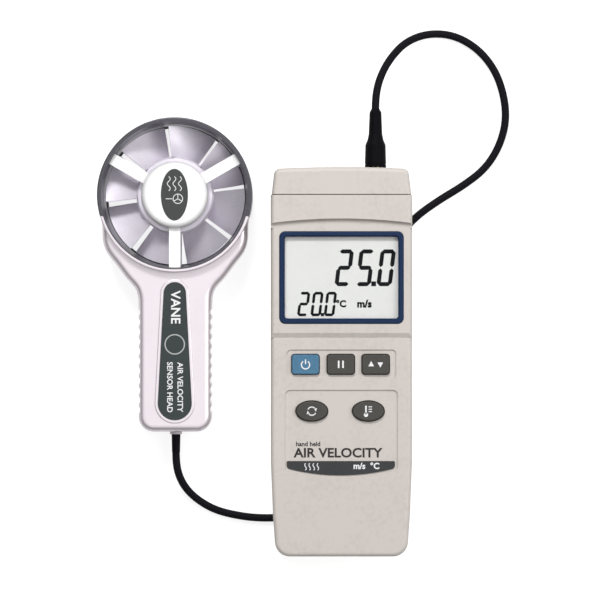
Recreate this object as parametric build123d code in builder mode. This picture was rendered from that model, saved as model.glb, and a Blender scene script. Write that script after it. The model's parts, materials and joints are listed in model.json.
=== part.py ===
"""Vane anemometer: a hand-held meter, and a silver vane probe on a plug-in lead.

Both lie face up on one surface. +Z points up out of the display, +Y towards the meter's
socket end. The origin is the bottom centre of the meter and the probe together, without
the lead. Sizes are in millimetres.
"""
import os
from math import cos, pi, radians, sin, tan

from build123d import *

os.makedirs("parts", exist_ok=True)

# --- Driving dimensions: meter -----------------------------------------------------------
METER_X, METER_Y = 40.35, -11.7      # plan centre of the meter
HALF_WIDTH = 32.65
HALF_LENGTH = 90.0
CAP_SEAM_Y = 77.1                    # seam below the top cap, from the meter's centre
TAIL_HALF_WIDTH = 30.3               # half width at the bottom end
TAPER_START_Y = -46.0
WALL = 2.2
FOOT_HEIGHT = 4.5
BACK_Z = FOOT_HEIGHT                 # outer face of the back
SEAM_Z = 20.0                        # joint between the front and back cases
KEYPAD_Z = 33.0
DECK_Z = 34.0                        # face round the display
BAND_Z = 35.8                        # raised band and top cap
RIM_R = 2.0                          # round along the outer edges of the cases
BAND_Y = 66.2                        # edge of the raised band, on the centre line
BAND_ARC_R = 255.0                   # radius of that edge in plan
DECK_SLOPE_Y = (11.2, 13.4)          # slope between the keypad face and the display face
CAP_STEP = 0.45                      # the cap is this much narrower on each side
CAP_BOW = 0.8                        # rise of the cap's end in its middle
FIT = 0.1                            # gap between pieces that are assembled together

# --- Driving dimensions: display and keys (from the meter's centre) ----------------------
BEZEL_HALF_WIDTH = 28.7
BEZEL_BOTTOM, BEZEL_TOP = 17.6, 60.3
BEZEL_BORDER = 2.5
BEZEL_Y = (BEZEL_BOTTOM + BEZEL_TOP) / 2
BEZEL_LENGTH = BEZEL_TOP - BEZEL_BOTTOM
RECESS_DEPTH = 0.7
KEY_TOP_Z = 34.0
KEY_GAP = 0.3                        # gap round a key in its hole
SQUARE_KEY = (12.7, 9.2)
SQUARE_KEYS = {"power_button": -16.6, "hold_button": -0.3, "record_button": 15.8}
SQUARE_KEY_Y = -1.1
OVAL_KEY = (14.8, 9.4)
OVAL_KEYS = {"unit_button": -13.7, "degree_button": 12.4}
OVAL_KEY_Y = -22.7
BOARD_TOP_Z = 27.7
BOARD_THICKNESS = 1.6

# --- Driving dimensions: back of the meter ------------------------------------------------
BATTERY_SIZE = (26.2, 46.2, 17.3)
BATTERY_Y = -56.4
BATTERY_Z = 7.0
BAY_HALF_WIDTH = 13.6
BAY_BOTTOM, BAY_TOP = -80.2, -27.5
BAY_ROOF_Z = 25.0
DOOR_HALF_WIDTH = 17.0
DOOR_TOP_Y = -25.0
DOOR_THICKNESS = 1.9
STAND_HALF_WIDTH = 15.0
STAND_PIVOT_Y = 29.0
STAND_PIVOT_Z = 6.4
STAND_LENGTH = 46.0
STAND_PIN_R = 0.9
STAND_BARREL_R = 1.7
FOOT_R = 4.0
FEET = [(-22.0, -83.0), (22.0, -83.0), (-15.0, 70.0), (15.0, 70.0)]
CASE_SCREWS = [(-26.3, 71.0), (26.3, 71.0), (-25.3, -64.0), (25.3, -64.0)]
BOARD_SCREWS = [(-21.5, 62.0), (21.5, 62.0), (-21.5, -54.0), (21.5, -54.0)]
TRIPOD_Y = 52.0
TRIPOD_BORE_R = 2.6                  # tapping size of the 1/4 inch thread
TRIPOD_LENGTH = 8.0

# --- Driving dimensions: probe ------------------------------------------------------------
RING_X, RING_Y = -37.0, 65.7         # axis of the vane
RING_R = 36.0
RING_WALL = 1.4                      # shell wall round the wind ring
DUCT_R = 33.0                        # inner wall of the wind ring
DUCT_MOUTH_R = 34.1                  # the duct widens towards its front
DUCT_LIP_R = 32.1                    # lip behind the rear struts
RING_TOP_Z = 27.0
SHOULDER_Y = -10.0                   # the yoke's arms end here; above it the wind ring is bare
SHOULDER_GAP = 0.15
FLANK_START_Y = -8.8
RING_COVER = (80.0, 60.0)            # wider and taller than the ring above the shoulders
HANDLE_TOP_Z = 23.0
PROBE_SEAM_Z = 11.5
HANDLE_HALF_WIDTH = 16.95
HANDLE_ROUND = 3.2                   # round along the front edges of yoke and handle
HANDLE_END_Y = -110.1                # from the vane's axis
HANDLE_START_Y = -50.5
SCALLOPS = 11
SCALLOP_PITCH = 4.55
SCALLOP_TOP_Y = -54.5
LABEL_TOP_Y, LABEL_TOP_R = -45.7, 5.3
LABEL_BOTTOM_Y, LABEL_BOTTOM_R = -96.8, 8.0
LABEL_LIP = 1.3
LABEL_LIP_HEIGHT = 0.6
LABEL_GAP = 0.15
BLADES = 8
BLADE_START_ANGLE = 30
BLADE_TIP_R = 32.3
BLADE_ROOT_R = 18.0
HUB_HEIGHT = 10.0
HUB_WALL = 1.6
HUB_POCKET = 8.0                     # depth, open to the rear
HUB_BOSS_R = 8.8                     # round the shaft and the magnet
MAGNET_Y = -6.2                      # from the axis
MAGNET_R = 1.5
MAGNET_HEIGHT = 2.0
BLADE_THICKNESS = 0.4
ROTOR_Z = 13.5                       # middle of the blades' height
HUB_BOTTOM_Z = ROTOR_Z - HUB_HEIGHT / 2
HUB_COVER_R = 15.6
STRUT_START_ANGLE = 30
STRUT_WIDTH = 5.3
STRUT_THICKNESS = 2.4
SHAFT_R = 0.6
SHAFT_CLEARANCE = 0.04
GLAND_R = 2.9
GLAND_Z = 7.0                        # height of the lead where it leaves the probe

# --- Driving dimensions: lead -------------------------------------------------------------
CORD_D = 3.6
PLUG_X = 56.4
PLUG_Z = 17.0
CAP_END_Y = METER_Y + HALF_LENGTH
PLUG_GAP = 0.4
CORD_ROUTE = [
    (-37.0, -54.4, 7.0), (-37.0, -60.0, 7.0), (-35.2, -67.0, 6.2), (-31.4, -73.0, 4.6),
    (-26.0, -77.8, 3.0), (-19.0, -81.8, 2.1), (-10.4, -84.2, 1.8), (0.4, -85.8, 1.8),
    (14.0, -85.6, 1.8), (28.8, -81.4, 1.8), (42.6, -72.4, 1.8), (52.8, -59.4, 1.8),
    (59.2, -42.4, 1.8), (61.6, -24.0, 1.8), (61.8, -5.0, 1.8), (61.2, 13.6, 1.8),
    (62.0, 30.6, 1.8), (66.4, 45.4, 1.8), (75.0, 55.6, 1.8), (86.4, 63.8, 1.8),
    (98.2, 70.8, 1.8), (108.6, 78.8, 1.8), (115.2, 89.4, 1.8), (118.4, 101.4, 1.8),
    (117.2, 113.8, 1.8), (112.8, 125.8, 1.8), (104.6, 135.6, 1.8), (93.4, 141.8, 1.8),
    (81.0, 142.4, 2.6), (70.6, 138.0, 6.4), (63.4, 130.0, 11.4), (58.8, 121.6, 15.4),
    (56.4, 112.4, 17.0), (56.4, 106.0, 17.0),
]


def meter_plane(z):
    """Plane at height z, centred on the meter."""
    return Plane((METER_X, METER_Y, z))


def probe_plane(z):
    """Plane at height z, centred on the vane's axis."""
    return Plane((RING_X, RING_Y, z))


def lengthwise_plane(x, y, z):
    """Plane whose normal is +Y, with its own x axis along +X."""
    return Plane(origin=(x, y, z), x_dir=(1, 0, 0), z_dir=(0, 1, 0))


# --- Profiles used by several pieces ------------------------------------------------------
with BuildSketch() as case_outline:
    with BuildLine():
        Polyline(
            (0, CAP_SEAM_Y),
            (HALF_WIDTH, CAP_SEAM_Y),
            (HALF_WIDTH, TAPER_START_Y),
            (HALF_WIDTH - 1.0, TAPER_START_Y - 25),
            (TAIL_HALF_WIDTH, -HALF_LENGTH),
            (0, -HALF_LENGTH),
        )
        mirror(about=Plane.YZ)
    make_face()
    tail_corners = case_outline.vertices().group_by(Axis.Y)[0]
    fillet(tail_corners, 7.0)

with BuildSketch() as case_cavity:
    add(case_outline.sketch)
    offset(amount=-WALL)

with BuildSketch() as cap_outline:
    with BuildLine():
        Polyline(
            (-HALF_WIDTH + 1.8, HALF_LENGTH - CAP_BOW),
            (-HALF_WIDTH + CAP_STEP, CAP_SEAM_Y + 0.4),
            (HALF_WIDTH - CAP_STEP, CAP_SEAM_Y + 0.4),
            (HALF_WIDTH - 1.8, HALF_LENGTH - CAP_BOW),
        )
        ThreePointArc(
            (HALF_WIDTH - 1.8, HALF_LENGTH - CAP_BOW), (0, HALF_LENGTH),
            (-HALF_WIDTH + 1.8, HALF_LENGTH - CAP_BOW),
        )
    make_face()
    fillet(cap_outline.vertices().group_by(Axis.Y)[-1], 3.0)

with BuildSketch() as probe_outline:
    with BuildLine():
        flank = Spline(
            (34.7, FLANK_START_Y), (33.9, -14.5), (33.7, -20.5), (32.0, -26.0), (28.1, -31.3),
            (21.7, -39.6), (HANDLE_HALF_WIDTH, HANDLE_START_Y),
            tangents=[(-0.2, -1), (0, -1)],
        )
        Polyline(flank @ 1, (HANDLE_HALF_WIDTH, HANDLE_END_Y), (0, HANDLE_END_Y))
        Polyline((0, FLANK_START_Y), flank @ 0)
        mirror(about=Plane.YZ)
    make_face()
    handle_corners = probe_outline.vertices().group_by(Axis.Y)[0]
    fillet(handle_corners, 7.0)
    Circle(RING_R)

with BuildSketch() as above_shoulders:
    with Locations((0, SHOULDER_Y)):
        Rectangle(*RING_COVER, align=(Align.CENTER, Align.MIN))

with BuildSketch() as scallops:
    scallop_y = SCALLOP_TOP_Y - SCALLOP_PITCH * (SCALLOPS - 1) / 2
    with Locations((0, scallop_y)):
        with GridLocations(2 * (HANDLE_HALF_WIDTH + 1.3), SCALLOP_PITCH, 2, SCALLOPS):
            Circle(2.1)

with BuildSketch() as label_outline:
    with BuildLine():
        CenterArc((0, LABEL_TOP_Y), LABEL_TOP_R, 0, 180)
        CenterArc((0, LABEL_BOTTOM_Y), LABEL_BOTTOM_R, 180, 180)
        Line((LABEL_TOP_R, LABEL_TOP_Y), (LABEL_BOTTOM_R, LABEL_BOTTOM_Y))
        Line((-LABEL_TOP_R, LABEL_TOP_Y), (-LABEL_BOTTOM_R, LABEL_BOTTOM_Y))
    make_face()

with BuildSketch() as key_recess:
    with Locations((0, -1.0)):
        RectangleRounded(50.6, 13.4, 2.0)

with BuildSketch() as pad_recess:
    with BuildLine():
        Line((-26.1, -49.7), (-26.1, -12.9))
        Line((-26.1, -12.9), (26.1, -12.9))
        Line((26.1, -12.9), (26.1, -49.7))
        ThreePointArc((26.1, -49.7), (0, -53.8), (-26.1, -49.7))
    make_face()
    fillet(pad_recess.vertices().group_by(Axis.Y)[-1], 2.5)

with BuildSketch() as plate_outline:
    with BuildLine():
        Line((-25.3, -49.1), (-25.3, -45.8))
        Line((-25.3, -45.8), (24.7, -45.8))
        Line((24.7, -45.8), (24.7, -49.1))
        ThreePointArc((24.7, -49.1), (-0.3, -52.4), (-25.3, -49.1))
    make_face()
    fillet(plate_outline.vertices().group_by(Axis.Y)[-1], 0.6)
    fillet(plate_outline.vertices().group_by(Axis.Y)[0], 1.8)


# --- Meter: cases -------------------------------------------------------------------------
with BuildPart() as display_deck:
    # a slope leads up from the keypad face to the face round the display
    with BuildSketch(Plane.YZ.offset(METER_X)):
        with BuildLine():
            Polyline(
                (METER_Y + DECK_SLOPE_Y[0], KEYPAD_Z), (METER_Y + DECK_SLOPE_Y[1], DECK_Z),
                (METER_Y + CAP_SEAM_Y, DECK_Z), (METER_Y + CAP_SEAM_Y, KEYPAD_Z - 4),
                (METER_Y + DECK_SLOPE_Y[0], KEYPAD_Z - 4), close=True,
            )
        make_face()
    extrude(amount=HALF_WIDTH, both=True)
    deck_rims = display_deck.edges().filter_by(Axis.Y).filter_by(lambda e: e.center().Z > KEYPAD_Z)
    fillet(deck_rims, RIM_R)

with BuildPart() as band_cove:
    # space in front of the raised band: a hollow curve that meets the display face
    with BuildSketch(Plane.YZ.offset(METER_X)):
        with BuildLine():
            cove_y = METER_Y + BAND_Y
            Polyline(
                (cove_y - 2.4, DECK_Z), (cove_y - 30, DECK_Z), (cove_y - 30, BAND_Z + 1),
                (cove_y, BAND_Z + 1), (cove_y, BAND_Z),
            )
            ThreePointArc((cove_y, BAND_Z), (cove_y - 0.9, DECK_Z + 0.5), (cove_y - 2.4, DECK_Z))
        make_face()
    arc_centre = (METER_X, METER_Y + BAND_Y - BAND_ARC_R, 0)
    revolve(axis=Axis(arc_centre, (0, 0, 1)), revolution_arc=9)
    mirror(about=Plane.YZ.offset(METER_X))

with BuildPart() as raised_band:
    with BuildSketch(meter_plane(KEYPAD_Z - 4)):
        with Locations((0, CAP_SEAM_Y)):
            Rectangle(2 * HALF_WIDTH, CAP_SEAM_Y - 61.8, align=(Align.CENTER, Align.MAX))
    extrude(amount=BAND_Z - KEYPAD_Z + 4)
    band_rims = raised_band.edges().filter_by(Axis.Y).filter_by(lambda e: e.center().Z > DECK_Z)
    fillet(band_rims, RIM_R)
    add(band_cove.part, mode=Mode.SUBTRACT)

with BuildPart() as front_case:
    with BuildSketch(meter_plane(SEAM_Z)):
        add(case_outline.sketch)
    extrude(amount=KEYPAD_Z - SEAM_Z)
    fillet(front_case.faces().sort_by(Axis.Z)[-1].edges(), RIM_R)
    add(display_deck.part)
    add(raised_band.part)
    # hollow inside, under the keypad face and under the display
    with BuildSketch(meter_plane(SEAM_Z)):
        add(case_cavity.sketch)
    extrude(amount=KEYPAD_Z - WALL - SEAM_Z, mode=Mode.SUBTRACT)
    # window opening with a seat for the bezel
    with BuildSketch(meter_plane(DECK_Z - 0.6)):
        with Locations((0, BEZEL_Y)):
            RectangleRounded(2 * BEZEL_HALF_WIDTH + 2 * FIT, BEZEL_LENGTH + 2 * FIT, 2.9)
    extrude(amount=1, mode=Mode.SUBTRACT)
    with BuildSketch(meter_plane(SEAM_Z)):
        with Locations((0, BEZEL_Y)):
            RectangleRounded(2 * BEZEL_HALF_WIDTH - 1.6, BEZEL_LENGTH - 1.6, 2.0)
    extrude(amount=20, mode=Mode.SUBTRACT)
    # recessed key panels
    with BuildSketch(meter_plane(KEYPAD_Z - RECESS_DEPTH)):
        add(key_recess.sketch)
        add(pad_recess.sketch)
    extrude(amount=2, mode=Mode.SUBTRACT)
    # key holes
    with BuildSketch(meter_plane(SEAM_Z)):
        with Locations([(x, SQUARE_KEY_Y) for x in SQUARE_KEYS.values()]):
            RectangleRounded(SQUARE_KEY[0] + 2 * KEY_GAP, SQUARE_KEY[1] + 2 * KEY_GAP, 1.7)
        with Locations([(x, OVAL_KEY_Y) for x in OVAL_KEYS.values()]):
            Ellipse(OVAL_KEY[0] / 2 + KEY_GAP, OVAL_KEY[1] / 2 + KEY_GAP)
    extrude(amount=20, mode=Mode.SUBTRACT)
    # bosses for the case screws and for the board screws
    with BuildSketch(meter_plane(SEAM_Z)):
        with Locations(CASE_SCREWS):
            Circle(3.2)
    extrude(amount=KEYPAD_Z - WALL - SEAM_Z)
    with BuildSketch(meter_plane(SEAM_Z)):
        with Locations(CASE_SCREWS):
            Circle(1.25)
    extrude(amount=8, mode=Mode.SUBTRACT)
    with BuildSketch(meter_plane(BOARD_TOP_Z)):
        with Locations(BOARD_SCREWS):
            Circle(2.0)
    extrude(amount=KEYPAD_Z - WALL - BOARD_TOP_Z)
    with BuildSketch(meter_plane(BOARD_TOP_Z)):
        with Locations(BOARD_SCREWS):
            Circle(0.9)
    extrude(amount=2.6, mode=Mode.SUBTRACT)
front_case.part.label = "front_case"
export_step(front_case.part, "parts/front_case.step")

BOARD_BOTTOM_Z = BOARD_TOP_Z - BOARD_THICKNESS

with BuildPart() as back_case:
    with BuildSketch(meter_plane(BACK_Z)):
        add(case_outline.sketch)
    extrude(amount=SEAM_Z - BACK_Z)
    fillet(back_case.faces().sort_by(Axis.Z)[0].edges(), 2.0)
    with BuildSketch(meter_plane(BACK_Z + WALL)):
        add(case_cavity.sketch)
    extrude(amount=SEAM_Z, mode=Mode.SUBTRACT)
    # battery bay, standing up inside the case
    bay_length = BAY_TOP - BAY_BOTTOM
    bay_y = (BAY_TOP + BAY_BOTTOM) / 2
    with BuildSketch(meter_plane(BACK_Z)):
        with Locations((0, bay_y)):
            Rectangle(2 * BAY_HALF_WIDTH + 2.4, bay_length + 2.4)
    extrude(amount=BAY_ROOF_Z + 0.8 - BACK_Z)
    # channel of the battery door: narrow at the face, wider above it
    with BuildSketch(meter_plane(BACK_Z)):
        with Locations((0, DOOR_TOP_Y)):
            Rectangle(
                2 * DOOR_HALF_WIDTH - 1.6, HALF_LENGTH, align=(Align.CENTER, Align.MAX)
            )
    extrude(amount=1.2, mode=Mode.SUBTRACT)
    with BuildSketch(meter_plane(BACK_Z + 1.1)):
        with Locations((0, DOOR_TOP_Y)):
            Rectangle(
                2 * DOOR_HALF_WIDTH + 0.4, HALF_LENGTH, align=(Align.CENTER, Align.MAX)
            )
    extrude(amount=DOOR_THICKNESS - 1.0, mode=Mode.SUBTRACT)
    with BuildSketch(meter_plane(BACK_Z)):
        with Locations((0, bay_y)):
            Rectangle(2 * BAY_HALF_WIDTH, bay_length)
    extrude(amount=BAY_ROOF_Z - BACK_Z, mode=Mode.SUBTRACT)
    # pocket for the tilt stand, with its own roof inside
    pocket_top_y = STAND_PIVOT_Y + STAND_BARREL_R + 0.5
    pocket_length = STAND_LENGTH + STAND_BARREL_R + 1.0
    with BuildSketch(meter_plane(BACK_Z)):
        with Locations((0, pocket_top_y + 1.6)):
            Rectangle(
                2 * STAND_HALF_WIDTH + 8, pocket_length + 3.2, align=(Align.CENTER, Align.MAX)
            )
    extrude(amount=5.4)
    with BuildSketch(meter_plane(BACK_Z)):
        with Locations((0, pocket_top_y)):
            Rectangle(
                2 * STAND_HALF_WIDTH + 0.8, pocket_length, align=(Align.CENTER, Align.MAX)
            )
    extrude(amount=3.9, mode=Mode.SUBTRACT)
    with BuildSketch(Plane.YZ.offset(METER_X)):
        with Locations((METER_Y + STAND_PIVOT_Y, STAND_PIVOT_Z)):
            Circle(STAND_PIN_R)
    extrude(amount=STAND_HALF_WIDTH + 3.0, both=True, mode=Mode.SUBTRACT)
    # boss of the tripod nut
    with BuildSketch(meter_plane(BACK_Z)):
        with Locations((0, TRIPOD_Y)):
            Circle(7.5)
    extrude(amount=TRIPOD_LENGTH)
    with BuildSketch(meter_plane(BACK_Z)):
        with Locations((0, TRIPOD_Y)):
            RegularPolygon(5.5, 6)
    extrude(amount=TRIPOD_LENGTH, mode=Mode.SUBTRACT)
    # seats of the feet
    with BuildSketch(meter_plane(BACK_Z)):
        with Locations(FEET):
            Circle(FOOT_R)
    extrude(amount=0.8, mode=Mode.SUBTRACT)
    # posts of the case screws
    with BuildSketch(meter_plane(BACK_Z + 1)):
        with Locations(CASE_SCREWS):
            Circle(3.4)
    extrude(amount=SEAM_Z - BACK_Z - 1)
    with BuildSketch(meter_plane(BACK_Z)):
        with Locations(CASE_SCREWS):
            Circle(1.4)
    extrude(amount=SEAM_Z, mode=Mode.SUBTRACT)
    with BuildSketch(meter_plane(BACK_Z)):
        with Locations(CASE_SCREWS):
            Circle(2.7)
    extrude(amount=3.6, mode=Mode.SUBTRACT)
back_case.part.label = "back_case"
export_step(back_case.part, "parts/back_case.step")

with BuildPart() as top_cap:
    with BuildSketch(meter_plane(BACK_Z)):
        add(cap_outline.sketch)
    extrude(amount=BAND_Z - BACK_Z)
    end_rims = top_cap.edges().filter_by(
        lambda e: min(abs(e.center().Z - BACK_Z), abs(e.center().Z - BAND_Z)) < 0.1
        and e.center().Y > METER_Y + CAP_SEAM_Y + 1
    )
    fillet(end_rims, RIM_R)
    with BuildSketch(meter_plane(BACK_Z + WALL)):
        with Locations((0, HALF_LENGTH - WALL)):
            Rectangle(2 * HALF_WIDTH - 9, 30, align=(Align.CENTER, Align.MAX))
    extrude(amount=BAND_Z - BACK_Z - 2 * WALL, mode=Mode.SUBTRACT)
    with BuildSketch(lengthwise_plane(PLUG_X, CAP_END_Y - 5, PLUG_Z)):
        Circle(6.2)
    extrude(amount=10, mode=Mode.SUBTRACT)
top_cap.part.label = "top_cap"
export_step(top_cap.part, "parts/top_cap.step")

with BuildPart() as battery_door:
    with BuildSketch(meter_plane(BACK_Z + 0.1)):
        with Locations((0, DOOR_TOP_Y - 0.3)):
            Rectangle(2 * DOOR_HALF_WIDTH - 2.0, 62.0, align=(Align.CENTER, Align.MAX))
    extrude(amount=1.2)
    with BuildSketch(meter_plane(BACK_Z + 1.2)):
        with Locations((0, DOOR_TOP_Y - 0.3)):
            Rectangle(2 * DOOR_HALF_WIDTH, 62.0, align=(Align.CENTER, Align.MAX))
    extrude(amount=DOOR_THICKNESS - 1.3)
    # grip grooves for a thumb
    with BuildSketch(meter_plane(BACK_Z + 0.1)):
        with Locations((0, -79.0)):
            with GridLocations(1, 2.0, 1, 4):
                Rectangle(16, 0.8)
    extrude(amount=0.5, mode=Mode.SUBTRACT)
battery_door.part.label = "battery_door"
export_step(battery_door.part, "parts/battery_door.step")

with BuildPart() as tilt_stand:
    with BuildSketch(meter_plane(BACK_Z + 0.1)):
        with Locations((0, STAND_PIVOT_Y)):
            Rectangle(2 * STAND_HALF_WIDTH, STAND_LENGTH, align=(Align.CENTER, Align.MAX))
        with Locations((0, STAND_PIVOT_Y - 6)):
            Rectangle(20, STAND_LENGTH - 13, align=(Align.CENTER, Align.MAX), mode=Mode.SUBTRACT)
    extrude(amount=2.2)
    fillet(tilt_stand.edges().filter_by(Axis.Z).group_by(Axis.Y)[0], 3.0)
    with BuildSketch(Plane.YZ.offset(METER_X)):
        with Locations((METER_Y + STAND_PIVOT_Y, STAND_PIVOT_Z)):
            Circle(STAND_BARREL_R)
    extrude(amount=STAND_HALF_WIDTH, both=True)
    with BuildSketch(Plane.YZ.offset(METER_X)):
        with Locations((METER_Y + STAND_PIVOT_Y, STAND_PIVOT_Z)):
            Circle(STAND_PIN_R + 0.05)
    extrude(amount=STAND_HALF_WIDTH + 1, both=True, mode=Mode.SUBTRACT)
tilt_stand.part.label = "tilt_stand"
export_step(tilt_stand.part, "parts/tilt_stand.step")

with BuildPart() as stand_pin:
    with BuildSketch(Plane.YZ.offset(METER_X)):
        with Locations((METER_Y + STAND_PIVOT_Y, STAND_PIVOT_Z)):
            Circle(STAND_PIN_R)
    extrude(amount=STAND_HALF_WIDTH + 3.0, both=True)
stand_pin.part.label = "stand_pin"
export_step(stand_pin.part, "parts/stand_pin.step")

with BuildPart() as rubber_feet:
    with BuildSketch(meter_plane(0)):
        with Locations(FEET):
            Circle(FOOT_R)
    extrude(amount=FOOT_HEIGHT + 0.8)
    fillet(rubber_feet.edges().group_by(Axis.Z)[0], 0.8)
rubber_feet.part.label = "rubber_feet"
export_step(rubber_feet.part, "parts/rubber_feet.step")

with BuildPart() as tripod_nut:
    with BuildSketch(meter_plane(BACK_Z)):
        with Locations((0, TRIPOD_Y)):
            RegularPolygon(5.5, 6)
            Circle(TRIPOD_BORE_R, mode=Mode.SUBTRACT)
    extrude(amount=TRIPOD_LENGTH)
tripod_nut.part.label = "tripod_nut"
export_step(tripod_nut.part, "parts/tripod_nut.step")

with BuildPart() as case_screws:
    with BuildSketch(meter_plane(BACK_Z + 1.6)):
        with Locations(CASE_SCREWS):
            Circle(2.5)
    extrude(amount=2.0)
    with BuildSketch(meter_plane(BACK_Z + 3.6)):
        with Locations(CASE_SCREWS):
            Circle(1.25)
    extrude(amount=SEAM_Z - BACK_Z - 3.6 + 7)
    with BuildSketch(meter_plane(BACK_Z + 1.6)):
        with Locations(CASE_SCREWS):
            Rectangle(3.2, 0.6)
            Rectangle(0.6, 3.2)
    extrude(amount=0.9, mode=Mode.SUBTRACT)
case_screws.part.label = "case_screws"
export_step(case_screws.part, "parts/case_screws.step")

with BuildPart() as battery:
    with BuildSketch(meter_plane(BATTERY_Z)):
        with Locations((0, BATTERY_Y)):
            RectangleRounded(BATTERY_SIZE[0], BATTERY_SIZE[1], 1.5)
    extrude(amount=BATTERY_SIZE[2])
    terminal_z = BATTERY_Z + BATTERY_SIZE[2] / 2
    terminal_y = METER_Y + BATTERY_Y + BATTERY_SIZE[1] / 2
    with BuildSketch(lengthwise_plane(METER_X, terminal_y, terminal_z)):
        with GridLocations(12.7, 1, 2, 1):
            Circle(3.0)
    extrude(amount=2.2)
battery.part.label = "battery"
export_step(battery.part, "parts/battery.step")

with BuildPart() as battery_clip:
    with BuildSketch(lengthwise_plane(METER_X, terminal_y + 2.2, terminal_z)):
        RectangleRounded(25.0, 12.5, 2.0)
    extrude(amount=2.6)
battery_clip.part.label = "battery_clip"
export_step(battery_clip.part, "parts/battery_clip.step")

# --- Meter: electronics -------------------------------------------------------------------
with BuildPart() as main_board:
    with BuildSketch(meter_plane(BOARD_BOTTOM_Z)):
        with Locations((0, 3.0)):
            RectangleRounded(48.0, 122.0, 1.5)
        with Locations(BOARD_SCREWS):
            Circle(1.1, mode=Mode.SUBTRACT)
    extrude(amount=BOARD_THICKNESS)
    # processor, regulator and other tall components on the underside
    with BuildSketch(meter_plane(BOARD_BOTTOM_Z)):
        with Locations((0, 36.0)):
            Rectangle(14, 14)
        with Locations((-15, 12.0), (14, 14.0)):
            Rectangle(6, 9)
        with Locations((12, 50.0)):
            Circle(3.2)
    extrude(amount=-2.4)
main_board.part.label = "main_board"
export_step(main_board.part, "parts/main_board.step")

with BuildPart() as board_screws:
    with BuildSketch(meter_plane(BOARD_BOTTOM_Z - 1.4)):
        with Locations(BOARD_SCREWS):
            Circle(1.9)
    extrude(amount=1.4)
    with BuildSketch(meter_plane(BOARD_BOTTOM_Z)):
        with Locations(BOARD_SCREWS):
            Circle(0.9)
    extrude(amount=BOARD_THICKNESS + 2.2)
board_screws.part.label = "board_screws"
export_step(board_screws.part, "parts/board_screws.step")

PANEL_BOTTOM_Z = 29.6
PANEL_THICKNESS = 2.2
WINDOW_BOTTOM_Z = PANEL_BOTTOM_Z + PANEL_THICKNESS
WINDOW_THICKNESS = 1.0
with BuildPart() as lcd_panel:
    with BuildSketch(meter_plane(PANEL_BOTTOM_Z)):
        with Locations((0, BEZEL_Y)):
            RectangleRounded(2 * BEZEL_HALF_WIDTH - 2.6, BEZEL_LENGTH - 2.6, 1.5)
    extrude(amount=PANEL_THICKNESS)
    # viewing area, just below the rim that carries the window
    with BuildSketch(meter_plane(WINDOW_BOTTOM_Z - 0.15)):
        with Locations((0, BEZEL_Y)):
            RectangleRounded(2 * BEZEL_HALF_WIDTH - 4.6, BEZEL_LENGTH - 4.6, 1.2)
    extrude(amount=1, mode=Mode.SUBTRACT)
lcd_panel.part.label = "lcd_panel"
export_step(lcd_panel.part, "parts/lcd_panel.step")

with BuildPart() as lcd_connector:
    with BuildSketch(meter_plane(BOARD_TOP_Z)):
        with Locations((0, BEZEL_BOTTOM + 3.4)):
            Rectangle(46, 2.4)
    extrude(amount=PANEL_BOTTOM_Z - BOARD_TOP_Z)
lcd_connector.part.label = "lcd_connector"
export_step(lcd_connector.part, "parts/lcd_connector.step")

with BuildPart() as display_window:
    with BuildSketch(meter_plane(WINDOW_BOTTOM_Z)):
        with Locations((0, BEZEL_Y)):
            RectangleRounded(2 * BEZEL_HALF_WIDTH - 1.8, BEZEL_LENGTH - 1.8, 1.9)
    extrude(amount=WINDOW_THICKNESS)
display_window.part.label = "display_window"
export_step(display_window.part, "parts/display_window.step")

BEZEL_TOP_Z = DECK_Z + 0.5
with BuildPart() as display_bezel:
    with BuildSketch(meter_plane(WINDOW_BOTTOM_Z + WINDOW_THICKNESS)):
        with Locations((0, BEZEL_Y)):
            RectangleRounded(2 * BEZEL_HALF_WIDTH - 1.8, BEZEL_LENGTH - 1.8, 1.9)
    extrude(amount=BEZEL_TOP_Z - WINDOW_BOTTOM_Z - WINDOW_THICKNESS)
    with BuildSketch(meter_plane(DECK_Z - 0.6)):
        with Locations((0, BEZEL_Y)):
            RectangleRounded(2 * BEZEL_HALF_WIDTH, BEZEL_LENGTH, 2.8)
    extrude(amount=BEZEL_TOP_Z - DECK_Z + 0.6)
    with BuildSketch(meter_plane(WINDOW_BOTTOM_Z)):
        with Locations((0, BEZEL_Y)):
            RectangleRounded(
                2 * (BEZEL_HALF_WIDTH - BEZEL_BORDER), BEZEL_LENGTH - 2 * BEZEL_BORDER, 1.2
            )
    extrude(amount=8, mode=Mode.SUBTRACT)
    bezel_face = display_bezel.faces().sort_by(Axis.Z)[-1]
    chamfer(bezel_face.inner_wires()[0].edges(), 0.6)
    bezel_face = display_bezel.faces().sort_by(Axis.Z)[-1]
    fillet(bezel_face.outer_wire().edges(), 0.6)
display_bezel.part.label = "display_bezel"
export_step(display_bezel.part, "parts/display_bezel.step")

FLANGE_BOTTOM_Z = 29.6
FLANGE_TOP_Z = 30.6
with BuildPart() as keypad_mat:
    with BuildSketch(meter_plane(BOARD_TOP_Z)):
        with Locations((0, -11.5)):
            RectangleRounded(46.5, 40.0, 2.0)
        with Locations([(x, SQUARE_KEY_Y) for x in SQUARE_KEYS.values()]):
            Rectangle(SQUARE_KEY[0] + 2.4, SQUARE_KEY[1] + 2.6, mode=Mode.SUBTRACT)
        with Locations([(x, OVAL_KEY_Y) for x in OVAL_KEYS.values()]):
            Rectangle(OVAL_KEY[0] + 3.0, OVAL_KEY[1] + 3.0, mode=Mode.SUBTRACT)
    extrude(amount=FLANGE_TOP_Z - BOARD_TOP_Z)
keypad_mat.part.label = "keypad_mat"
export_step(keypad_mat.part, "parts/keypad_mat.step")

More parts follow.
